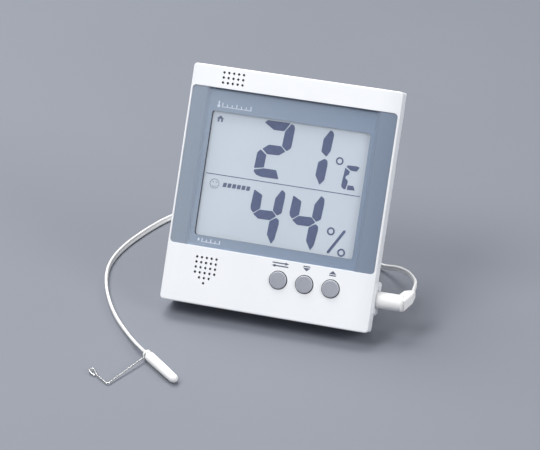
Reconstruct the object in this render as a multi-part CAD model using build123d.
from build123d import *
import os
from math import cos, pi, radians, sin, sqrt, tan

# Digital maximum minimum thermometer and hygrometer: a leaning display unit with a wired probe.
# The unit is drawn upright: X is its width, Y its depth behind the front face, Z its height above
# its bottom edge. seat() then leans it back on its stand. The sensor lead is drawn where it lies.
# All sizes are in millimetres.

# ---- case ----
WIDTH = 108.0
HEIGHT = 119.1
WALL = 2.0
PARTING = 9.7            # depth at which the front and rear shells meet
FLANK_RUN = 9.0          # width of each rolled end of the front face
FLANK_RADIUS = 20.0
SIDE_DRAFT = 17.0        # degrees, rear shell, left and right
END_DRAFT = 5.0          # degrees, rear shell, top and bottom
CORNER_RADIUS = 1.8      # corners of the front view
FRONT_EDGE = 0.7
BACK_EDGE = 2.0
LEAN = 29.5              # degrees from upright, when it rests on its stand

# ---- display ----
SIDE_STRIP = 1.2         # case left and right of the lens
TOP_BAND = 10.95         # case above the lens
BUTTON_BAND = 28.85      # case below the lens
LENS_CORNER = 2.0
LENS_SUNK = 0.3
LENS_THICK = 1.4
LENS_GAP = 0.15
MASK_THICK = 0.2
BORDER_SIDE = 11.9       # printed border round the window
BORDER_TOP = 11.35
BORDER_BOTTOM = 5.55
WINDOW_CORNER = 1.4
LEDGE_THICK = 1.5
LEDGE_MARGIN = 1.6       # how far the ledge reaches past the lens pocket, above and below
WINDOW_MARGIN = 1.0      # the case's opening is this much larger than the window, each side
LCD_FRONT = 3.9          # depth of the liquid crystal panel's face
LCD_GLASS = 1.0
LCD_FILM = 0.2
LCD_BORDER = 2.6         # front glass beyond the window
LCD_CONTACT_EDGE = 2.4   # rear glass beyond the front glass, top and bottom
HOLDER_WALL = 2.6
HOLDER_BAR = 2.0
FIT = 0.2                # loose fit between moulded parts

# ---- circuit board ----
BOARD_FRONT = 7.6
BOARD_THICK = 1.2
BOARD_SIDE_ROOM = 8.0
BOARD_BOTTOM = 12.0
BOARD_TOP_ROOM = 9.9
BOARD_SCREW_TOP_INSET = 2.1
BOARD_SCREW_TOP_EDGE = 14.0
BOARD_SCREW_LOW_EDGE = 11.0
BOARD_SCREW_LOW_Z = 16.0
BOARD_SCREW_BESIDE_BUTTON = 13.9
BOSS_RADIUS = 2.4
PILOT_RADIUS = 0.8
BOARD_SCREW_HOLE = 1.15
BOARD_SCREW_HEAD = 1.9
BOARD_SCREW_HEAD_THICK = 1.1
BOARD_SCREW_LENGTH = 3.6
CHIP_X, CHIP_Z = 18.0, 44.0
CHIP_DOME = 11.2
CHIP_HEIGHT = 1.7
CRYSTAL_X, CRYSTAL_Z = 30.0, 33.0
CRYSTAL_LENGTH = 7.0
CRYSTAL_RADIUS = 1.0

# ---- buttons ----
BUTTON_Z = 18.65
BUTTON_EDGE = 21.15      # last button's middle to the case's right side
BUTTON_PITCH = 13.47
BUTTON_RADIUS = 4.3
BUTTON_GAP = 0.3
BUTTON_PROUD = 0.9
BUTTON_RIM = 0.5
BUTTON_FLANGE = 1.0      # flange beyond the cap, and its thickness
BUTTON_TRAVEL = 0.6
BUTTON_STEM = 1.5
SWITCH_BODY = 6.0
SWITCH_HEIGHT = 2.4
SWITCH_TIP = 1.6
SWITCH_TIP_HEIGHT = 0.6
CONTACT_GAP = 0.05       # rest gap between parts that meet when one moves

# ---- vents ----
VENT_RADIUS = 0.55
VENT_PITCH = 2.54
VENT_EDGE = 22.0         # middle of both vents to the case's left side
TOP_VENT_DOWN = 5.5
LOW_VENT_TOP_Z = 23.7
LOW_VENT_ROWS = [5, 5, 5, 5, 3, 1]

# ---- case screws ----
SCREW_EDGE = 8.5
SCREW_LOW_Z = 7.2
SCREW_HIGH_DOWN = 6.5
SCREW_SEAT = PARTING + 4.5
SCREW_HEAD = 2.8
SCREW_HEAD_THICK = 2.0
SCREW_SHANK = 1.4
SCREW_LENGTH = 9.0
SCREW_BOSS = 3.1
SCREW_TUBE = 4.4
SCREW_SEAT_THICK = 2.3

# ---- lead socket, on the right side ----
JACK_Z = 16.7
JACK_PAD_HEIGHT = 16.6
JACK_PAD_NEAR = 4.0
JACK_PAD_FAR = 16.0
JACK_PAD_PROUD = 0.6
JACK_PAD_BEVEL = 1.2
JACK_PAD_ROOT = 3.8
PLUG_SHAFT = 1.75
SHAFT_FIT = 0.06
PLUG_REACH = 14.0
RECESS_RADIUS = 4.6
RECESS_DEEP = 1.5
NOSE_RADIUS = 3.0
JACK_LONG, JACK_DEEP, JACK_TALL = 12.0, 6.6, 8.4
JACK_INSET = 4.0         # case side to the socket body
CRADLE_THICK = 1.2
NOTCH_ROOM = 1.0         # board cut back round the socket

# ---- battery (AAA cell), its compartment and door ----
CELL_RADIUS = 5.15
CELL_LENGTH = 43.2
CELL_NUB = 1.0
CELL_NUB_RADIUS = 1.9
CELL_EDGE = 0.6
BAY_DOWN = 28.6          # middle of the compartment below the case's top
BAY_ROOM = 0.95          # above and below the cell
BAY_SPRING_ROOM = 7.05
BAY_PLATE_ROOM = 0.75
BAY_CLEAR = 0.4          # board to the compartment's floor
BAY_WALL = 1.0
BAY_SIDE = 1.9
DOOR_RIM = 1.2           # the door's rabbet beyond the compartment
DOOR_THICK = 1.6
DOOR_GAP = 0.2
DOOR_ROOM = 0.75         # cell to door
DOOR_TAB_X = 15.0
DOOR_TAB_WIDTH = 6.0
DOOR_TAB_THICK = 1.3
DOOR_TAB_DROP = 1.8
DOOR_TAB_REACH = 1.0
DOOR_CLIP = 8.0
DOOR_CLIP_DEEP = 2.2
DOOR_CLIP_THICK = 1.0
DOOR_CLIP_ROOM = 0.8     # clip to the compartment's lower wall, so that it swings clear
DOOR_OPEN = 45.0
CONTACT_HALF = 4.2
CONTACT_THICK = 0.4
SPRING_WIRE = 0.35
SPRING_RADIUS = 3.2
SPRING_TURNS = 4
THUMB_RADIUS = 6.2
THUMB_DEEP = 1.0
LEAD_WIRE = 0.5

# ---- unit slide switch, on the back ----
UNIT_BESIDE_STAND = 13.0
UNIT_Z = 58.0
UNIT_TRAVEL = 2.0
UNIT_KNOB_WIDE, UNIT_KNOB_TALL = 3.0, 2.0
UNIT_WELL_WIDE, UNIT_WELL_TALL = 11.0, 7.0
UNIT_WELL_DEEP = 1.8
UNIT_FLOOR = 1.4
UNIT_BODY_HEIGHT = 3.8
UNIT_KNOB_SUNK = 0.5

# ---- stand ----
STAND_WIDTH = 42.0
STAND_FOOT_WIDTH = 34.0
STAND_THICK = 2.6
STAND_BELOW_BAY = 12.4   # hinge axis below the battery compartment
STAND_OPEN = 43.8        # degrees that it turns out of its recess
STAND_PIN = 1.2
PIN_FIT = 0.06
STAND_BAY_DEEP = 3.4
STAND_BAY_WALL = 1.6
STAND_GAP = 0.5
STAND_FINGER_ROOM = 4.5
STAND_PANEL_DEEP = 0.8

# ---- wall hanging keyhole ----
KEYHOLE_DOWN = 12.1
KEYHOLE_RADIUS = 4.0
KEYHOLE_SLOT = 4.0
KEYHOLE_RISE = 5.5

# ---- worked out from the sizes above ----
FLAT_HALF = WIDTH / 2 - FLANK_RUN
LENS_WIDTH = WIDTH - 2 * SIDE_STRIP
LENS_HEIGHT = HEIGHT - TOP_BAND - BUTTON_BAND
LENS_MID_Z = BUTTON_BAND + LENS_HEIGHT / 2
WINDOW_WIDTH = LENS_WIDTH - 2 * BORDER_SIDE
WINDOW_HEIGHT = LENS_HEIGHT - BORDER_TOP - BORDER_BOTTOM
WINDOW_MID_Z = BUTTON_BAND + BORDER_BOTTOM + WINDOW_HEIGHT / 2
LENS_BACK = LENS_SUNK + LENS_THICK
POCKET_FLOOR = LENS_BACK + MASK_THICK
LEDGE_BACK = POCKET_FLOOR + LEDGE_THICK
LCD_BACK = LCD_FRONT + 2 * LCD_FILM + 2 * LCD_GLASS
LCD_WIDTH = WINDOW_WIDTH + 2 * LCD_BORDER
LCD_HEIGHT = WINDOW_HEIGHT + 2 * LCD_BORDER
BOARD_BACK = BOARD_FRONT + BOARD_THICK
BOARD_WIDTH = WIDTH - 2 * BOARD_SIDE_ROOM
BOARD_TOP = HEIGHT - BOARD_TOP_ROOM
SWITCH_TIP_DEPTH = BOARD_FRONT - SWITCH_HEIGHT - SWITCH_TIP_HEIGHT
TOP_VENT_Z = HEIGHT - TOP_VENT_DOWN
VENT_X = VENT_EDGE - WIDTH / 2
JACK_FACE = WIDTH / 2 + JACK_PAD_PROUD
JACK_RIGHT = WIDTH / 2 - JACK_INSET
NOSE_END = JACK_FACE - RECESS_DEEP
BAY_WIDTH = CELL_LENGTH + CELL_NUB + BAY_SPRING_ROOM + BAY_PLATE_ROOM
BAY_HEIGHT = 2 * (CELL_RADIUS + BAY_ROOM)
BAY_Z = HEIGHT - BAY_DOWN
BAY_LOW = BAY_Z - BAY_HEIGHT / 2
BAY_HIGH = BAY_Z + BAY_HEIGHT / 2
BAY_FLOOR = BOARD_BACK + BAY_CLEAR + BAY_WALL
CELL_Y = BAY_FLOOR + 0.15 + CELL_RADIUS
CELL_RIGHT = BAY_WIDTH / 2 - BAY_PLATE_ROOM
DOOR_INNER = CELL_Y + CELL_RADIUS + DOOR_ROOM - 0.15
DEPTH = DOOR_INNER + DOOR_THICK
DOOR_HINGE_Y = DEPTH - 0.1
DOOR_HINGE_Z = BAY_HIGH + DOOR_RIM - 0.05
UNIT_X = -STAND_WIDTH / 2 - UNIT_BESIDE_STAND
UNIT_TOP = BOARD_BACK + UNIT_BODY_HEIGHT
STAND_HINGE_Z = BAY_LOW - STAND_BELOW_BAY
STAND_FLOOR = DEPTH - STAND_BAY_DEEP
STAND_PIVOT_Y = STAND_FLOOR + STAND_GAP + STAND_THICK / 2
LEAN_SIN, LEAN_COS = sin(radians(LEAN)), cos(radians(LEAN))
BACK_CURVE_Y = DEPTH - BACK_EDGE
BACK_CURVE_Z = (BACK_CURVE_Y - PARTING) * tan(radians(END_DRAFT)) + BACK_EDGE / cos(radians(END_DRAFT))
SEAT_LIFT = BACK_CURVE_Y * LEAN_SIN - BACK_CURVE_Z * LEAN_COS + BACK_EDGE
HINGE_HEIGHT = STAND_HINGE_Z * LEAN_COS - STAND_PIVOT_Y * LEAN_SIN + SEAT_LIFT
STAND_LENGTH = (HINGE_HEIGHT - STAND_THICK / 2) / cos(radians(STAND_OPEN - LEAN))
STAND_FOOT_Z = STAND_HINGE_Z - STAND_LENGTH    # middle of the rounded foot, when folded
STAND_BAY_HALF = STAND_WIDTH / 2 + STAND_GAP
STAND_BAY_LOW = STAND_FOOT_Z - STAND_THICK / 2 - STAND_FINGER_ROOM
STAND_BAY_HIGH = STAND_HINGE_Z + STAND_THICK / 2 + STAND_GAP
KEYHOLE_Z = HEIGHT - KEYHOLE_DOWN

# ---- sensor lead ----
CORD_WIDTH = 3.0
PLUG_RADIUS = 4.1
PLUG_BODY_LENGTH = 14.8
PLUG_EDGE = 0.9
PLUG_OFF = 0.3           # plug body to the bottom of the sunk ring
SLEEVE_ROOT = 9.0        # how far the metal sleeve reaches into the plug's body
TIP_LENGTH = 4.4
RING_LENGTH = 1.0        # insulating ring between tip and sleeve
ARM_ANGLE = 18.0         # degrees, away from straight back
EXIT_ANGLE = -2.0        # the same, where the cord leaves
ARM_LENGTH = 10.2
ARM_OFFSET = 1.6         # arm's middle inward of the plug body's end
CORD_STRAIGHT = 5.0      # straight run of cord behind the plug's arm
CORD_BEFORE_PROBE = 8.5
COIL_MIDDLE = (-14.0, 63.0)
COIL_MID_RADIUS = 17.0
COIL_WALL = 9.2
COIL_HEIGHT = 6.4
COIL_BASE = 0.6
TIE_THICK = 0.5
TIE_WIDTH = 4.0
TIE_ROOM = 0.1
CORD_FROM_PLUG = [
    (66.8, 6.2, 17.5), (59.8, 16.5, 13.4), (50.6, 27.5, 7.6),
    (39.0, 36.6, 3.0), (25.5, 41.3, 2.2), (9.0, 42.6, 2.2), (-9.0, 42.35, 2.2),
]
CORD_TO_PROBE = [
    (-19.0, 42.7, 5.1), (-34.0, 44.0, 3.8), (-50.0, 49.5, 2.0), (-62.0, 57.0, 1.6),
    (-74.0, 57.0, 1.6), (-81.7, 53.3, 1.6), (-88.0, 45.6, 1.6), (-92.6, 29.5, 1.6),
    (-94.8, 7.5, 1.6), (-92.0, -13.0, 1.6), (-84.5, -32.0, 1.6), (-74.0, -49.0, 1.6),
    (-62.0, -62.6, 1.6),
]
PROBE_START = (-46.4, -77.7, 2.65)
PROBE_HEADING = -39.2    # degrees from +X
PROBE_LENGTH = 27.5
PROBE_RADIUS = 2.55
NECK_LENGTH = 3.4
NECK_RADIUS = 2.3
GROOVE_RADIUS = 1.75
GROOVE_AT = 1.9
GROOVE_WIDTH = 1.1
HANGER_WIRE = 0.35
HANGER_FIT = 0.08
HANGER_BENDS = [
    (-56.1, -105.6, 1.0), (-63.3, -100.3, 1.0), (-67.4, -95.2, 1.3), (-68.9, -97.4, 1.5),
    (-66.6, -99.6, 1.1), (-64.6, -100.4, 0.9),
]
HANGER_RADII = [1.0, 4.0, 0.75, 1.0, 2.0]


# ================= outlines and helpers =================

def face_prism(sketch, near, far):
    """Solid of a front view outline, between two depths."""
    return extrude(Plane.XZ.offset(-near) * sketch, amount=near - far)


def plan_prism(sketch, low, high):
    """Solid of a top view outline, between two heights."""
    return extrude(Plane.XY.offset(low) * sketch, amount=high - low)


def block(x0, x1, y0, y1, z0, z1):
    """Box between two corners."""
    return Pos((x0 + x1) / 2, (y0 + y1) / 2, (z0 + z1) / 2) * Box(x1 - x0, y1 - y0, z1 - z0)


def peg(x, z, radius, near, far):
    """Round peg along the depth."""
    return face_prism(Pos(x, z) * Circle(radius), near, far)


def rod(y, z, radius, x0, x1):
    """Round rod along the width."""
    return Pos((x0 + x1) / 2, y, z) * Rot(Y=90) * Cylinder(radius, x1 - x0)


def front_depth(x, sunk):
    """Depth of the front face, moved back by sunk, at a distance x from the middle."""
    reach = max(abs(x) - FLAT_HALF, 0.0)
    return FLANK_RADIUS - sqrt((FLANK_RADIUS - sunk) ** 2 - reach ** 2)


def front_edge_line(half, sunk):
    """The rolled front face as a line from -half to half, moved back by sunk."""
    end = front_depth(half, sunk)
    bend = FLAT_HALF + (half - FLAT_HALF) / 2
    middle = front_depth(bend, sunk)
    left = ThreePointArc((-half, end), (-bend, middle), (-FLAT_HALF, sunk))
    flat = Line((-FLAT_HALF, sunk), (FLAT_HALF, sunk))
    right = ThreePointArc((FLAT_HALF, sunk), (bend, middle), (half, end))
    return [left, flat, right], end


def plan_outline():
    """Top view outline of the whole case: rolled front, upright sides, drafted rear."""
    half = WIDTH / 2
    lines, end = front_edge_line(half, 0.0)
    back_half = half - (DEPTH - PARTING) * tan(radians(SIDE_DRAFT))
    rest = Polyline((half, end), (half, PARTING), (back_half, DEPTH),
                    (-back_half, DEPTH), (-half, PARTING), (-half, end))
    return make_face(Curve() + lines + rest)


def side_outline():
    """Side view outline of the whole case, as depth and height."""
    inset = (DEPTH - PARTING) * tan(radians(END_DRAFT))
    return make_face(Polyline((0, 0), (PARTING, 0), (DEPTH, inset), (DEPTH, HEIGHT - inset),
                              (PARTING, HEIGHT), (0, HEIGHT), close=True))


def case_block(inset):
    """The whole case as one solid, shrunk by inset all round."""
    plan, side = plan_outline(), side_outline()
    if inset:
        plan = offset(plan, -inset, kind=Kind.INTERSECTION)
        side = offset(side, -inset, kind=Kind.INTERSECTION)
    tall = plan_prism(plan, -1, HEIGHT + 1)
    wide = extrude(Plane.YZ.offset(-WIDTH) * side, amount=2 * WIDTH)
    return tall & wide


def rolled_sheet(half, sunk, thick, low, high):
    """A sheet that follows the rolled front face."""
    front, front_end = front_edge_line(half, sunk)
    back, back_end = front_edge_line(half, sunk + thick)
    ends = [Line((-half, front_end), (-half, back_end)), Line((half, front_end), (half, back_end))]
    return plan_prism(make_face(Curve() + front + back + ends), low, high)


def rounded_panel(width, height, corner, middle_z, near, far):
    """Rounded rectangle of the front view, between two depths."""
    return face_prism(Pos(0, middle_z) * RectangleRounded(width, height, corner), near, far)


def centred(width, height, middle_z, near, far):
    """Plain rectangle of the front view, between two depths."""
    return face_prism(Pos(0, middle_z) * Rectangle(width, height), near, far)


def case_outside():
    """The whole case as one solid with its rounded edges."""
    body = case_block(0.0)
    across = [e for e in body.edges().filter_by(Axis.Y) if abs(e.center().X) > FLAT_HALF]
    body = fillet(across, CORNER_RADIUS)
    back = [e for e in body.edges() if e.center().Y > DEPTH - 0.01]
    body = fillet(back, BACK_EDGE)
    front = [e for e in body.edges() if e.bounding_box().max.Y < PARTING - 3.0]
    ends = [e for e in front if abs(e.center().Z - HEIGHT / 2) > HEIGHT / 2 - 2.0]
    sides = [e for e in front if abs(e.center().X) > WIDTH / 2 - 0.5 and e not in ends]
    return fillet(ends + sides, FRONT_EDGE)


def vent_points():
    """Centres of the small holes of both vents."""
    points = []
    for row in (-1, 0, 1):
        for column in range(-2, 3):
            points.append((VENT_X + column * VENT_PITCH, TOP_VENT_Z + row * VENT_PITCH))
    for row, count in enumerate(LOW_VENT_ROWS):
        for column in range(count):
            x = VENT_X + (column - (count - 1) / 2) * VENT_PITCH
            points.append((x, LOW_VENT_TOP_Z - row * VENT_PITCH))
    return points


def button_x(index):
    """Middle of a button, counted from the left."""
    return WIDTH / 2 - BUTTON_EDGE - (2 - index) * BUTTON_PITCH


def screw_points():
    """Middles of the screws that join the two shells."""
    across = WIDTH / 2 - SCREW_EDGE
    return [(x, z) for x in (-across, across) for z in (SCREW_LOW_Z, HEIGHT - SCREW_HIGH_DOWN)]


def board_screw_points():
    """Middles of the screws that hold the circuit board."""
    across = WIDTH / 2 - BOARD_SCREW_TOP_EDGE
    high = BOARD_TOP - BOARD_SCREW_TOP_INSET
    low = BOARD_SCREW_LOW_Z
    left = BOARD_SCREW_LOW_EDGE - WIDTH / 2
    return [(-across, high), (across, high), (left, low), (button_x(0) - BOARD_SCREW_BESIDE_BUTTON, low)]


def group(shapes):
    """Separate solids of one node."""
    return Part() + shapes


# ================= shells =================

def jack_pad():
    """Raised pad round the lead socket, with bevelled upper and lower ends."""
    low, high = JACK_Z - JACK_PAD_HEIGHT / 2, JACK_Z + JACK_PAD_HEIGHT / 2
    inside, side = WIDTH / 2 - JACK_PAD_ROOT, WIDTH / 2 - JACK_PAD_BEVEL / 3
    outline = Polyline((inside, low), (side, low), (JACK_FACE, low + JACK_PAD_BEVEL),
                       (JACK_FACE, high - JACK_PAD_BEVEL), (side, high), (inside, high), close=True)
    pad = face_prism(make_face(outline), JACK_PAD_NEAR, JACK_PAD_FAR)
    return chamfer(pad.edges().filter_by(Axis.Z).group_by(Axis.X)[-1], JACK_PAD_PROUD - 0.1)


def jack_holes():
    """Sunk ring for the plug's end, and the hole for the socket's nose."""
    sunk = rod(PARTING, JACK_Z, RECESS_RADIUS, NOSE_END, JACK_FACE + 1)
    through = rod(PARTING, JACK_Z, NOSE_RADIUS + CONTACT_GAP, JACK_RIGHT, NOSE_END + 1)
    return sunk + through


def hollow_case():
    """Outer case with its cavity removed, before it is parted."""
    shell = case_outside() - case_block(WALL)
    return shell + jack_pad() - jack_holes()


def boss_root(z):
    """Depth at which a boss inside the front shell can start without reaching the lens."""
    pocket_low, pocket_high = BUTTON_BAND - LEDGE_MARGIN, HEIGHT - TOP_BAND + LEDGE_MARGIN
    under_lens = pocket_low < z + BOSS_RADIUS and z - BOSS_RADIUS < pocket_high
    return (LEDGE_BACK if under_lens else WALL) - 0.3


def make_front_case(case):
    """Front shell: lens pocket and ledge, button holes, vents, bosses and the socket's cradle."""
    shell = case & block(-WIDTH, WIDTH, -5, PARTING, -5, HEIGHT + 5)
    low, high = BUTTON_BAND, HEIGHT - TOP_BAND
    shell += rolled_sheet(WIDTH / 2 - WALL / 2, WALL / 2, LEDGE_BACK - WALL / 2,
                          low - LEDGE_MARGIN, high + LEDGE_MARGIN)
    pocket = rolled_sheet(LENS_WIDTH / 2 + LENS_GAP, -3, 3 + POCKET_FLOOR, low - 3, high + 3)
    pocket &= rounded_panel(LENS_WIDTH + 2 * LENS_GAP, LENS_HEIGHT + 2 * LENS_GAP,
                            LENS_CORNER, LENS_MID_Z, -6, PARTING)
    shell -= pocket
    shell -= rounded_panel(WINDOW_WIDTH + 2 * WINDOW_MARGIN, WINDOW_HEIGHT + 2 * WINDOW_MARGIN,
                           WINDOW_CORNER, WINDOW_MID_Z, -1, LEDGE_BACK + 1)
    for index in range(3):
        shell -= peg(button_x(index), BUTTON_Z, BUTTON_RADIUS + BUTTON_GAP, -1, WALL + 1)
    shell -= group([peg(x, z, VENT_RADIUS, -1, WALL + 1) for x, z in vent_points()])
    for x, z in board_screw_points():
        shell += peg(x, z, BOSS_RADIUS, boss_root(z), BOARD_FRONT)
        shell -= peg(x, z, PILOT_RADIUS, BOARD_FRONT - BOARD_SCREW_LENGTH - 0.4, BOARD_FRONT + 1)
    for x, z in screw_points():
        shell += peg(x, z, SCREW_BOSS, WALL - 0.3, SCREW_SEAT - SCREW_SEAT_THICK - 0.1)
        shell -= peg(x, z, SCREW_SHANK - 0.3, SCREW_SEAT - SCREW_LENGTH - 0.5, SCREW_SEAT)
    for x in (JACK_RIGHT - JACK_LONG + 3.0, JACK_RIGHT - 2.0 - CRADLE_THICK):
        shell += block(x, x + CRADLE_THICK, WALL - 0.3, PARTING - JACK_DEEP / 2,
                       JACK_Z - JACK_TALL / 2, JACK_Z + JACK_TALL / 2)
    return shell


def stand_bay():
    """Outer wall and the hollow of the recess that the folded stand lies in."""
    outer_half = STAND_BAY_HALF + STAND_BAY_WALL
    wall = block(-outer_half, outer_half, STAND_FLOOR - STAND_BAY_WALL, DEPTH - WALL / 2,
                 STAND_BAY_LOW - STAND_BAY_WALL, STAND_BAY_HIGH + STAND_BAY_WALL)
    hollow = block(-STAND_BAY_HALF, STAND_BAY_HALF, STAND_FLOOR, DEPTH + 1, STAND_BAY_LOW, STAND_BAY_HIGH)
    pin_end = outer_half - 0.4
    return wall, hollow + rod(STAND_PIVOT_Y, STAND_HINGE_Z, STAND_PIN + PIN_FIT, -pin_end, pin_end)


def battery_bay():
    """Outer wall and the hollow of the battery compartment, with the slots for the door's tabs."""
    half = BAY_WIDTH / 2
    wall = block(-half - BAY_SIDE, half + BAY_SIDE, BAY_FLOOR - BAY_WALL, DEPTH - WALL / 2,
                 BAY_LOW - BAY_SIDE, BAY_HIGH + BAY_SIDE)
    hollow = block(-half, half, BAY_FLOOR, DEPTH + 1, BAY_LOW, BAY_HIGH)
    hollow += block(-half - DOOR_RIM, half + DOOR_RIM, DOOR_INNER - CONTACT_GAP, DEPTH + 1,
                    BAY_LOW - DOOR_RIM, BAY_HIGH + DOOR_RIM)
    room = DOOR_TAB_WIDTH / 2 + 2 * FIT
    deepest = DOOR_INNER - DOOR_TAB_DROP - DOOR_TAB_THICK - FIT
    for x in (-DOOR_TAB_X, DOOR_TAB_X):
        hollow += block(x - room, x + room, deepest, DEPTH - WALL,
                        BAY_HIGH - 0.1, BAY_HIGH + BAY_SIDE + 0.1)
        hollow += block(x - room, x + room, DEPTH - WALL - 0.1, DOOR_INNER,
                        BAY_HIGH - 0.1, BAY_HIGH + DOOR_RIM)
    return wall, hollow


def unit_well():
    """Pad and hollow for the unit switch's knob."""
    half_w, half_h = UNIT_WELL_WIDE / 2, UNIT_WELL_TALL / 2
    floor = DEPTH - UNIT_WELL_DEEP
    pad = block(UNIT_X - half_w - 1, UNIT_X + half_w + 1, floor - UNIT_FLOOR, DEPTH - WALL / 2,
                UNIT_Z - half_h - 1, UNIT_Z + half_h + 1)
    slot_half = (UNIT_KNOB_WIDE + UNIT_TRAVEL) / 2 + FIT
    hollow = block(UNIT_X - half_w, UNIT_X + half_w, floor, DEPTH + 1, UNIT_Z - half_h, UNIT_Z + half_h)
    hollow += block(UNIT_X - slot_half, UNIT_X + slot_half, floor - 2 * UNIT_FLOOR, DEPTH,
                    UNIT_Z - UNIT_KNOB_TALL / 2 - FIT, UNIT_Z + UNIT_KNOB_TALL / 2 + FIT)
    return pad, hollow


def keyhole():
    """Round entry with a narrower slot above it."""
    top = KEYHOLE_Z + KEYHOLE_RISE
    slot = Pos(0, (KEYHOLE_Z + top) / 2) * Rectangle(KEYHOLE_SLOT, KEYHOLE_RISE)
    end = Pos(0, top) * Circle(KEYHOLE_SLOT / 2)
    return face_prism(Pos(0, KEYHOLE_Z) * Circle(KEYHOLE_RADIUS) + slot + end, DEPTH - WALL - 1, DEPTH + 1)


def thumb_notch():
    """Shallow hollow below the battery door, to lift it by."""
    return Pos(0, DEPTH + THUMB_RADIUS - THUMB_DEEP, BAY_LOW - DOOR_RIM) * Sphere(THUMB_RADIUS)


def make_rear_cover(case):
    """Rear shell: stand recess, battery compartment, unit switch well, screw tubes and keyhole."""
    shell = case & block(-WIDTH, WIDTH, PARTING, DEPTH + 5, -5, HEIGHT + 5)
    solids, hollows = [], []
    for wall, hollow in (stand_bay(), battery_bay(), unit_well()):
        solids.append(wall)
        hollows.append(hollow)
    for x, z in screw_points():
        solids.append(peg(x, z, SCREW_TUBE, SCREW_SEAT - SCREW_SEAT_THICK, DEPTH - WALL / 2))
        hollows.append(peg(x, z, SCREW_HEAD + 2 * FIT, SCREW_SEAT, DEPTH + 1))
        hollows.append(peg(x, z, SCREW_SHANK + FIT, SCREW_SEAT - 4, SCREW_SEAT + 1))
    inside = case_block(WALL / 2)
    shell += [solid & inside for solid in solids]
    return shell - hollows - keyhole() - thumb_notch()


# ================= display and electronics =================

def make_display_lens():
    """Clear lens that follows the rolled front face."""
    sheet = rolled_sheet(LENS_WIDTH / 2, LENS_SUNK, LENS_THICK, 0, HEIGHT)
    return sheet & rounded_panel(LENS_WIDTH, LENS_HEIGHT, LENS_CORNER - LENS_GAP, LENS_MID_Z, -1, PARTING)


def make_lens_mask():
    """Coloured border behind the lens, open at the window."""
    sheet = rolled_sheet(LENS_WIDTH / 2, LENS_BACK, MASK_THICK, 0, HEIGHT)
    mask = sheet & rounded_panel(LENS_WIDTH, LENS_HEIGHT, LENS_CORNER - LENS_GAP, LENS_MID_Z, -1, PARTING)
    return mask - rounded_panel(WINDOW_WIDTH, WINDOW_HEIGHT, WINDOW_CORNER, WINDOW_MID_Z, -1, PARTING)


def make_lcd_polarizer():
    return centred(LCD_WIDTH - 2, LCD_HEIGHT - 2, WINDOW_MID_Z, LCD_FRONT, LCD_FRONT + LCD_FILM)


def make_lcd_glass():
    """Two bonded glass plates; the rear one stands out above and below for the contacts."""
    near = LCD_FRONT + LCD_FILM
    middle = near + LCD_GLASS
    front = centred(LCD_WIDTH, LCD_HEIGHT, WINDOW_MID_Z, near, middle)
    rear = centred(LCD_WIDTH, LCD_HEIGHT + 2 * LCD_CONTACT_EDGE, WINDOW_MID_Z, middle, middle + LCD_GLASS)
    return front + rear


def make_lcd_reflector():
    return centred(LCD_WIDTH - 2, LCD_HEIGHT - 2, WINDOW_MID_Z, LCD_BACK - LCD_FILM, LCD_BACK)


def make_lcd_holder():
    """Frame that keeps the panel and its contact strips square on the circuit board."""
    height = LCD_HEIGHT + 2 * LCD_CONTACT_EDGE
    outside = centred(LCD_WIDTH + 2 * HOLDER_WALL, height + 2 * HOLDER_WALL, WINDOW_MID_Z,
                      LCD_FRONT, BOARD_FRONT)
    inside = centred(LCD_WIDTH + 2 * FIT, height + 2 * FIT, WINDOW_MID_Z, 0, DEPTH)
    bar = centred(LCD_WIDTH + HOLDER_WALL, HOLDER_BAR, WINDOW_MID_Z, LCD_BACK + FIT, BOARD_FRONT)
    return outside - inside + bar


def make_contact_strips():
    """Two rubber contact strips between the panel's edges and the board."""
    strips = []
    for side in (-1, 1):
        middle = WINDOW_MID_Z + side * (LCD_HEIGHT / 2 + LCD_CONTACT_EDGE / 2)
        strips.append(centred(LCD_WIDTH - 4, LCD_CONTACT_EDGE - 2 * FIT, middle,
                              LCD_BACK - LCD_FILM, BOARD_FRONT))
    return group(strips)


def make_circuit_board():
    middle = (BOARD_BOTTOM + BOARD_TOP) / 2
    board = centred(BOARD_WIDTH, BOARD_TOP - BOARD_BOTTOM, middle, BOARD_FRONT, BOARD_BACK)
    notch_left = JACK_RIGHT - JACK_LONG - NOTCH_ROOM
    board -= block(notch_left, WIDTH, 0, DEPTH, 0, JACK_Z + JACK_TALL / 2 + NOTCH_ROOM)
    return board - group([peg(x, z, BOARD_SCREW_HOLE, 0, DEPTH) for x, z in board_screw_points()])


def cross_slot(x, z, back, reach, deep):
    """Cross recess in a screw's head."""
    return Pos(x, back, z) * (Box(reach, 2 * deep, reach / 4) + Box(reach / 4, 2 * deep, reach))


def make_board_screws():
    screws = []
    back = BOARD_BACK + BOARD_SCREW_HEAD_THICK
    for x, z in board_screw_points():
        head = peg(x, z, BOARD_SCREW_HEAD, BOARD_BACK, back)
        shank = peg(x, z, PILOT_RADIUS, BOARD_FRONT - BOARD_SCREW_LENGTH, BOARD_BACK)
        screws.append(head + shank - cross_slot(x, z, back, 2.2, 0.45))
    return group(screws)


def make_tact_switches():
    switches = []
    half = SWITCH_BODY / 2
    face = BOARD_FRONT - SWITCH_HEIGHT
    for index in range(3):
        x = button_x(index)
        body = block(x - half, x + half, face, BOARD_FRONT, BUTTON_Z - half, BUTTON_Z + half)
        switches.append(body + peg(x, BUTTON_Z, SWITCH_TIP, SWITCH_TIP_DEPTH, face))
    return group(switches)


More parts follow.
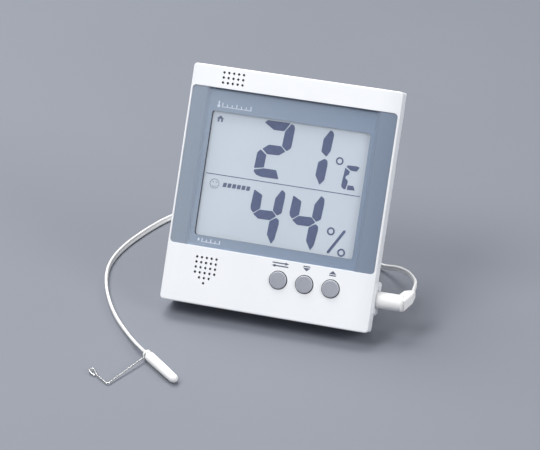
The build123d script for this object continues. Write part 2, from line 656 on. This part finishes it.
def make_button(index):
    """Round cap, with a flange that keeps it in the case and a stem that reaches its switch."""
    x = button_x(index)
    seat = WALL + CONTACT_GAP
    cap = peg(x, BUTTON_Z, BUTTON_RADIUS, -BUTTON_PROUD, seat)
    cap = fillet(cap.edges().group_by(Axis.Y)[0], BUTTON_RIM)
    flange = peg(x, BUTTON_Z, BUTTON_RADIUS + BUTTON_FLANGE, seat, seat + BUTTON_FLANGE)
    stem = peg(x, BUTTON_Z, BUTTON_STEM, seat, SWITCH_TIP_DEPTH - BUTTON_TRAVEL - CONTACT_GAP)
    return cap + flange + stem


def make_humidity_sensor():
    """Louvred housing of the humidity element, behind the lower vent."""
    z = LOW_VENT_TOP_Z - 2.4 * VENT_PITCH
    half_w, half_h, tall = 5.0, 6.0, 3.6
    body = block(VENT_X - half_w, VENT_X + half_w, BOARD_FRONT - tall, BOARD_FRONT, z - half_h, z + half_h)
    for row in range(-2, 3):
        slot_z = z + 2 * row
        body -= block(VENT_X - half_w + 1, VENT_X + half_w - 1, 0, BOARD_FRONT - tall + 0.8,
                      slot_z - 0.5, slot_z + 0.5)
    return body


def make_air_thermistor():
    """Bead on two stiff leads, held up behind the upper vent."""
    bead_y, bead_z, lead = BOARD_FRONT - 2.6, TOP_VENT_Z - 0.6, 0.2
    bead = Pos(VENT_X, bead_y, bead_z) * Sphere(1.2)
    for x in (VENT_X - 0.6, VENT_X + 0.6):
        foot = block(x - lead, x + lead, BOARD_FRONT - 2 * lead, BOARD_FRONT, BOARD_TOP - 2.5, bead_z + lead)
        arm = block(x - lead, x + lead, bead_y, BOARD_FRONT, bead_z - lead, bead_z + lead)
        bead += foot + arm
    return bead


def make_chip_cover():
    """Epoxy dome over the bonded chip, on the back of the board."""
    dome = Pos(CHIP_X, BOARD_BACK + CHIP_HEIGHT - CHIP_DOME, CHIP_Z) * Sphere(CHIP_DOME)
    return dome & block(CHIP_X - CHIP_DOME, CHIP_X + CHIP_DOME, BOARD_BACK, BOARD_BACK + CHIP_DOME,
                        CHIP_Z - CHIP_DOME, CHIP_Z + CHIP_DOME)


def make_crystal():
    """Watch crystal can lying on the back of the board, with its bent leads."""
    middle = BOARD_BACK + CRYSTAL_RADIUS + 0.1
    can = rod(middle, CRYSTAL_Z, CRYSTAL_RADIUS, CRYSTAL_X, CRYSTAL_X + CRYSTAL_LENGTH)
    return can + block(CRYSTAL_X - 1.5, CRYSTAL_X + 0.2, BOARD_BACK, middle + 0.2,
                       CRYSTAL_Z - 0.8, CRYSTAL_Z + 0.8)


def make_jack_socket():
    """Body of the lead's socket with its nose in the case's side."""
    body = block(JACK_RIGHT - JACK_LONG, JACK_RIGHT, PARTING - JACK_DEEP / 2, PARTING + JACK_DEEP / 2,
                 JACK_Z - JACK_TALL / 2, JACK_Z + JACK_TALL / 2)
    body += rod(PARTING, JACK_Z, NOSE_RADIUS, JACK_RIGHT, NOSE_END)
    return body - rod(PARTING, JACK_Z, PLUG_SHAFT + SHAFT_FIT, NOSE_END - PLUG_REACH - 0.4, JACK_FACE)


def wire(points, bend):
    """Insulated wire along straight runs joined by arcs."""
    path = FilletPolyline(*points, radius=bend)
    return sweep(Plane(origin=path @ 0, z_dir=path % 0) * Circle(LEAD_WIRE), path=path)


def make_jack_wires():
    """Two wires from the socket's lugs to the back of the board."""
    wires = []
    left = JACK_RIGHT - JACK_LONG
    for index in range(2):
        y = BOARD_BACK + 1.6 + 1.8 * index
        z = JACK_Z - 1.0 + 2.4 * index
        x = left - 8.0 - 2.0 * index
        high = z + 9.0
        points = [(left, y, z), (left - 4.5, y, z), (x, y, z + 4.0), (x, y, high), (x, BOARD_BACK, high)]
        wires.append(wire(points, 0.7))
    return group(wires)


def make_battery():
    cell = rod(CELL_Y, BAY_Z, CELL_RADIUS, CELL_RIGHT - CELL_NUB - CELL_LENGTH, CELL_RIGHT - CELL_NUB)
    cell = fillet(cell.edges(), CELL_EDGE)
    return cell + rod(CELL_Y, BAY_Z, CELL_NUB_RADIUS, CELL_RIGHT - CELL_NUB - 0.2, CELL_RIGHT)


def contact_tab(x0, x1):
    """Flat metal tab across the end of the compartment."""
    return block(x0, x1, CELL_Y - CONTACT_HALF, CELL_Y + CONTACT_HALF,
                 BAY_Z - CONTACT_HALF, BAY_Z + CONTACT_HALF)


def make_battery_plate():
    """Flat positive contact."""
    right = BAY_WIDTH / 2 - CONTACT_GAP
    plate = contact_tab(right - CONTACT_THICK, right)
    return plate + rod(CELL_Y, BAY_Z, CELL_NUB_RADIUS - 0.3, CELL_RIGHT + CONTACT_GAP, right - CONTACT_THICK)


def make_battery_spring():
    """Coiled negative contact on its flat tab."""
    left = CONTACT_GAP - BAY_WIDTH / 2
    end = CELL_RIGHT - CELL_NUB - CELL_LENGTH - CONTACT_GAP
    start = left + CONTACT_THICK
    rise = end - start - SPRING_WIRE
    helix = Helix(pitch=rise / SPRING_TURNS, height=rise, radius=SPRING_RADIUS)
    turns = sweep(Plane(origin=helix @ 0, z_dir=helix % 0) * Circle(SPRING_WIRE), path=helix)
    return contact_tab(left, start) + Pos(start, CELL_Y, BAY_Z) * Rot(Y=90) * turns


def make_battery_wires():
    """Wires from the two battery contacts to the back of the board, outside the compartment."""
    wires = []
    y = BAY_FLOOR + 3.0
    for side in (-1, 1):
        x = side * (BAY_WIDTH / 2 + BAY_SIDE + 1.2)
        low = BAY_LOW - BAY_SIDE
        inner = x - 4 * side
        points = [(x, y, BAY_Z), (x, y, low - 2), (inner, y, low - 7), (inner, BOARD_BACK, low - 7)]
        wires.append(wire(points, 1.4))
    return group(wires)


def make_battery_door():
    """Snap-in door with two tabs above, a clip below and a ribbed finger pad."""
    half = BAY_WIDTH / 2 + DOOR_RIM - DOOR_GAP
    low, high = BAY_LOW - DOOR_RIM + DOOR_GAP, BAY_HIGH + DOOR_RIM - DOOR_GAP
    door = block(-half, half, DOOR_INNER, DEPTH, low, high)
    tab_far = DOOR_INNER - DOOR_TAB_DROP + DOOR_TAB_THICK
    for x in (-DOOR_TAB_X, DOOR_TAB_X):
        left, right = x - DOOR_TAB_WIDTH / 2, x + DOOR_TAB_WIDTH / 2
        door += block(left, right, DOOR_INNER - DOOR_TAB_DROP, DOOR_INNER + 0.1,
                      BAY_HIGH - 1.2, BAY_HIGH - FIT)
        door += block(left, right, DOOR_INNER - DOOR_TAB_DROP, tab_far, BAY_HIGH - 2 * FIT,
                      BAY_HIGH + BAY_SIDE + DOOR_TAB_REACH)
    clip_low = BAY_LOW + DOOR_CLIP_ROOM
    door += block(-DOOR_CLIP / 2, DOOR_CLIP / 2, DOOR_INNER - DOOR_CLIP_DEEP, DOOR_INNER + 0.1,
                  clip_low, clip_low + DOOR_CLIP_THICK)
    for row in range(3):
        z = low + 2.2 + 1.2 * row
        door -= block(-6, 6, DEPTH - 0.35, DEPTH + 1, z - 0.3, z + 0.3)
    return door


def make_unit_switch():
    """Body of the slide switch on the back of the board."""
    half_w, half_h = (UNIT_KNOB_WIDE + UNIT_TRAVEL) / 2 + 2.0, UNIT_KNOB_TALL / 2 + 1.2
    body = block(UNIT_X - half_w, UNIT_X + half_w, BOARD_BACK, UNIT_TOP, UNIT_Z - half_h, UNIT_Z + half_h)
    room = (UNIT_KNOB_WIDE + UNIT_TRAVEL) / 2 + FIT
    return body - block(UNIT_X - room, UNIT_X + room, UNIT_TOP - 1.5, UNIT_TOP + 1,
                        UNIT_Z - UNIT_KNOB_TALL / 2 - FIT, UNIT_Z + UNIT_KNOB_TALL / 2 + FIT)


def make_unit_knob():
    """Knob of the unit switch, at the left end of its travel."""
    left = UNIT_X - (UNIT_KNOB_WIDE + UNIT_TRAVEL) / 2
    top = DEPTH - UNIT_KNOB_SUNK
    knob = block(left, left + UNIT_KNOB_WIDE, UNIT_TOP - 1.3, top,
                 UNIT_Z - UNIT_KNOB_TALL / 2, UNIT_Z + UNIT_KNOB_TALL / 2)
    for step in (-1, 0, 1):
        x = left + UNIT_KNOB_WIDE / 2 + 0.8 * step
        knob -= block(x - 0.15, x + 0.15, top - 0.3, top + 1, 0, HEIGHT)
    return knob


def make_case_screws():
    screws = []
    back = SCREW_SEAT + SCREW_HEAD_THICK
    for x, z in screw_points():
        head = peg(x, z, SCREW_HEAD, SCREW_SEAT, back)
        head = fillet(head.edges().group_by(Axis.Y)[-1], 0.7)
        shank = peg(x, z, SCREW_SHANK - 0.3, SCREW_SEAT - SCREW_LENGTH, SCREW_SEAT + 0.1)
        screws.append(head + shank - cross_slot(x, z, back, 3.2, 0.9))
    return group(screws)


# ================= stand =================

def folded_stand():
    """Tapering leg with a rounded foot, stub pins and a sunk panel, drawn folded."""
    near, far = STAND_PIVOT_Y - STAND_THICK / 2, STAND_PIVOT_Y + STAND_THICK / 2
    half_top, half_foot = STAND_WIDTH / 2, STAND_FOOT_WIDTH / 2
    shoulder = STAND_HINGE_Z - 0.3 * STAND_LENGTH
    outline = Polyline((-half_top, STAND_HINGE_Z), (half_top, STAND_HINGE_Z), (half_top, shoulder),
                       (half_foot, STAND_FOOT_Z), (-half_foot, STAND_FOOT_Z), (-half_top, shoulder),
                       close=True)
    leg = face_prism(make_face(outline), near, far)
    leg += rod(STAND_PIVOT_Y, STAND_HINGE_Z, STAND_THICK / 2, -half_top, half_top)
    leg += rod(STAND_PIVOT_Y, STAND_FOOT_Z, STAND_THICK / 2, -half_foot, half_foot)
    panel = RectangleRounded(STAND_FOOT_WIDTH - 12, 0.42 * STAND_LENGTH, 3)
    leg -= face_prism(Pos(0, STAND_HINGE_Z - 0.52 * STAND_LENGTH) * panel, far - STAND_PANEL_DEEP, far + 1)
    reach = STAND_BAY_HALF + STAND_BAY_WALL - 0.6
    return leg + rod(STAND_PIVOT_Y, STAND_HINGE_Z, STAND_PIN, -reach, reach)


def make_stand_leg():
    """The leg, turned out about its pins until its foot is on the table."""
    to_hinge = Pos(0, STAND_PIVOT_Y, STAND_HINGE_Z)
    from_hinge = Pos(0, -STAND_PIVOT_Y, -STAND_HINGE_Z)
    return to_hinge * Rot(X=STAND_OPEN) * from_hinge * folded_stand()


# ================= placing the leaning unit =================

def seating(case):
    """Leans the unit back and puts the origin on the table, under the middle of its box."""
    lean = Rot(X=-LEAN)
    box = (lean * case).bounding_box()
    return Pos(-(box.min.X + box.max.X) / 2, -(box.min.Y + box.max.Y) / 2, -box.min.Z) * lean


# ================= sensor lead =================

def plug_middle(seat):
    """Point on the plug's axis, at the face of the socket's pad."""
    return (seat * Pos(JACK_FACE, PARTING, JACK_Z)).position


def plug_start(seat):
    """Where the plug's body begins, just off the bottom of the sunk ring."""
    return plug_middle(seat).X - RECESS_DEEP + PLUG_OFF


def heading_back(angle):
    """Level direction, at an angle from straight back towards +X."""
    return Vector(sin(radians(angle)), cos(radians(angle)), 0)


def plug_exit(seat):
    """Where the cord leaves the plug's arm."""
    face = plug_middle(seat)
    root = Vector(plug_start(seat) + PLUG_BODY_LENGTH - ARM_OFFSET, face.Y, face.Z)
    return root + heading_back(ARM_ANGLE) * ARM_LENGTH


def probe_heading():
    return Vector(cos(radians(PROBE_HEADING)), sin(radians(PROBE_HEADING)), 0)


def make_plug_body(seat):
    """Moulded body with an arm that turns the cord to the back."""
    face, start = plug_middle(seat), plug_start(seat)
    barrel = rod(face.Y, face.Z, PLUG_RADIUS, start, start + PLUG_BODY_LENGTH)
    barrel = chamfer(barrel.edges(), PLUG_EDGE)
    exit_point, heading = plug_exit(seat), heading_back(ARM_ANGLE)
    root = Plane(origin=exit_point - heading * (ARM_LENGTH + 1.5), x_dir=(0, 0, 1), z_dir=heading)
    waist = Plane(origin=exit_point - heading * (ARM_LENGTH * 0.35), x_dir=(0, 0, 1), z_dir=heading)
    tip = Plane(origin=exit_point, x_dir=(0, 0, 1), z_dir=heading_back(EXIT_ANGLE))
    arm = loft([root * RectangleRounded(6.6, 6.2, 1.2), waist * RectangleRounded(6.4, 5.6, 1.2)])
    arm += loft([waist * RectangleRounded(6.4, 5.6, 1.2), tip * RectangleRounded(4.6, 3.4, 0.9)])
    return barrel + arm - rod(face.Y, face.Z, PLUG_SHAFT, start - 1, start + SLEEVE_ROOT)


def make_plug_sleeve(seat):
    face, start = plug_middle(seat), plug_start(seat)
    near = start - PLUG_REACH + TIP_LENGTH + RING_LENGTH
    return rod(face.Y, face.Z, PLUG_SHAFT, near, start + SLEEVE_ROOT)


def make_plug_insulator(seat):
    face = plug_middle(seat)
    near = plug_start(seat) - PLUG_REACH + TIP_LENGTH
    return rod(face.Y, face.Z, PLUG_SHAFT - 0.05, near, near + RING_LENGTH)


def make_plug_tip(seat):
    """Pointed tip with its waist."""
    face = plug_middle(seat)
    outline = Polyline((0, 0), (0.7, 0), (PLUG_SHAFT, 1.4), (PLUG_SHAFT - 0.55, 2.6),
                       (PLUG_SHAFT, 3.4), (PLUG_SHAFT, TIP_LENGTH), (0, TIP_LENGTH), close=True)
    tip = revolve(Plane.XZ * make_face(outline), Axis.Z)
    return Pos(plug_start(seat) - PLUG_REACH, face.Y, face.Z) * Rot(Y=90) * tip


def corner_radii(points):
    """Largest even arc for each corner of a route, which leaves a tenth of the shorter run straight."""
    radii = []
    for before, here, after in zip(points, points[1:], points[2:]):
        run_in, run_out = Vector(*here) - Vector(*before), Vector(*after) - Vector(*here)
        half_turn = radians(run_in.get_angle(run_out)) / 2
        radii.append(0.45 * min(run_in.length, run_out.length) / tan(half_turn))
    return radii


def cord_tube(name, points):
    """Free cord as a round tube along straight runs joined by tangent arcs."""
    radii = corner_radii(points)
    path = FilletPolyline(*points, radius=radii)
    tube = sweep(Plane(origin=path @ 0, z_dir=path % 0) * Circle(CORD_WIDTH / 2), path=path)
    section = pi * CORD_WIDTH ** 2 / 4
    print(name, "radii", [round(r, 1) for r in radii], "length", round(path.length, 1),
          "volume over section times length", round(tube.volume / (section * path.length), 4))
    return tube


def make_cord_from_plug(seat):
    start = plug_exit(seat)
    straight = start + heading_back(EXIT_ANGLE) * CORD_STRAIGHT
    return cord_tube("cord_from_plug", [tuple(start), tuple(straight)] + CORD_FROM_PLUG)


def make_cord_to_probe():
    before = Vector(*PROBE_START) - probe_heading() * CORD_BEFORE_PROBE
    return cord_tube("cord_to_probe", CORD_TO_PROBE + [tuple(before), PROBE_START])


def make_cord_coil():
    """Outer shape of the cord's stored length: a flat ring of turns."""
    x, y = COIL_MIDDLE
    outer = Cylinder(COIL_MID_RADIUS + COIL_WALL / 2, COIL_HEIGHT)
    ring = outer - Cylinder(COIL_MID_RADIUS - COIL_WALL / 2, COIL_HEIGHT + 1)
    return Pos(x, y, COIL_BASE + COIL_HEIGHT / 2) * ring


def make_coil_tie():
    """Flat tie round the ring of turns, on its far side."""
    x, y = COIL_MIDDLE
    inner, outer = COIL_MID_RADIUS - COIL_WALL / 2, COIL_MID_RADIUS + COIL_WALL / 2
    near = y + sqrt(inner ** 2 - (TIE_WIDTH / 2) ** 2) - TIE_ROOM
    far = y + outer + TIE_ROOM
    low, high = COIL_BASE - TIE_ROOM, COIL_BASE + COIL_HEIGHT + TIE_ROOM
    left, right = x - TIE_WIDTH / 2, x + TIE_WIDTH / 2
    band = block(left, right, near - TIE_THICK, far + TIE_THICK, low - TIE_THICK, high + TIE_THICK)
    return band - block(left - 1, right + 1, near, far, low, high)


def probe_place():
    """Frame with its Z along the probe, from where the cord enters it."""
    return Plane(origin=PROBE_START, x_dir=(0, 0, 1), z_dir=probe_heading()).location


def make_probe_body():
    """Moulded probe: necked end with a groove for the hanger, round nose, hollow for the bead."""
    g0, g1 = GROOVE_AT - GROOVE_WIDTH / 2, GROOVE_AT + GROOVE_WIDTH / 2
    nose = PROBE_LENGTH - PROBE_RADIUS
    side = Polyline((0, 0), (NECK_RADIUS - 0.4, 0), (NECK_RADIUS, 0.4), (NECK_RADIUS, g0),
                    (GROOVE_RADIUS, g0), (GROOVE_RADIUS, g1), (NECK_RADIUS, g1),
                    (NECK_RADIUS, NECK_LENGTH), (PROBE_RADIUS, NECK_LENGTH + 0.5), (PROBE_RADIUS, nose))
    end = RadiusArc((PROBE_RADIUS, nose), (0, PROBE_LENGTH), PROBE_RADIUS)
    if end.length > 2 * PROBE_RADIUS:
        end = RadiusArc((PROBE_RADIUS, nose), (0, PROBE_LENGTH), -PROBE_RADIUS)
    outline = make_face(Curve() + side + end + Line((0, PROBE_LENGTH), (0, 0)))
    body = revolve(Plane.XZ * outline, Axis.Z)
    hollow = Pos(0, 0, PROBE_LENGTH - 8.0) * Cylinder(1.3, 7.0)
    return probe_place() * (body - hollow)


def make_probe_bead():
    bead = Pos(0, 0, PROBE_LENGTH - 7.0) * Sphere(1.1)
    lead = Pos(0, 0, PROBE_LENGTH - 9.6) * Cylinder(0.5, 3.2)
    return probe_place() * (bead + lead)


def make_probe_hanger():
    """Stiff wire hook whose ring turns in the probe's groove."""
    ring_radius = GROOVE_RADIUS + HANGER_FIT + HANGER_WIRE
    place = probe_place()
    ring = place * Pos(0, 0, GROOVE_AT) * Torus(ring_radius, HANGER_WIRE)
    along = probe_heading()
    side = Vector(along.Y, -along.X, 0)
    start = Vector(*PROBE_START) + along * GROOVE_AT + side * ring_radius
    path = FilletPolyline(tuple(start), *HANGER_BENDS, radius=HANGER_RADII)
    hook = sweep(Plane(origin=path @ 0, z_dir=path % 0) * Circle(HANGER_WIRE), path=path)
    return ring + hook


# ================= the whole model =================

def build():
    """Every node of the model, by name, in its final place."""
    case = hollow_case()
    seat = seating(case)
    upright = {
        "front_case": make_front_case(case),
        "rear_cover": make_rear_cover(case),
        "display_lens": make_display_lens(),
        "lens_mask": make_lens_mask(),
        "lcd_polarizer": make_lcd_polarizer(),
        "lcd_glass": make_lcd_glass(),
        "lcd_reflector": make_lcd_reflector(),
        "lcd_holder": make_lcd_holder(),
        "contact_strips": make_contact_strips(),
        "circuit_board": make_circuit_board(),
        "board_screws": make_board_screws(),
        "tact_switches": make_tact_switches(),
        "button_in_out": make_button(0),
        "button_min": make_button(1),
        "button_max": make_button(2),
        "humidity_sensor": make_humidity_sensor(),
        "air_thermistor": make_air_thermistor(),
        "chip_cover": make_chip_cover(),
        "crystal": make_crystal(),
        "jack_socket": make_jack_socket(),
        "jack_wires": make_jack_wires(),
        "battery": make_battery(),
        "battery_plate": make_battery_plate(),
        "battery_spring": make_battery_spring(),
        "battery_wires": make_battery_wires(),
        "battery_door": make_battery_door(),
        "unit_switch": make_unit_switch(),
        "unit_switch_knob": make_unit_knob(),
        "case_screws": make_case_screws(),
        "stand_leg": make_stand_leg(),
    }
    nodes = {name: seat * shape for name, shape in upright.items()}
    nodes["plug_body"] = make_plug_body(seat)
    nodes["plug_sleeve"] = make_plug_sleeve(seat)
    nodes["plug_insulator"] = make_plug_insulator(seat)
    nodes["plug_tip"] = make_plug_tip(seat)
    nodes["cord_from_plug"] = make_cord_from_plug(seat)
    nodes["cord_coil"] = make_cord_coil()
    nodes["coil_tie"] = make_coil_tie()
    nodes["cord_to_probe"] = make_cord_to_probe()
    nodes["probe_body"] = make_probe_body()
    nodes["probe_bead"] = make_probe_bead()
    nodes["probe_hanger"] = make_probe_hanger()
    return nodes


def main():
    os.makedirs("parts", exist_ok=True)
    for name, shape in build().items():
        export_step(shape, f"parts/{name}.step")


if __name__ == "__main__":
    main()
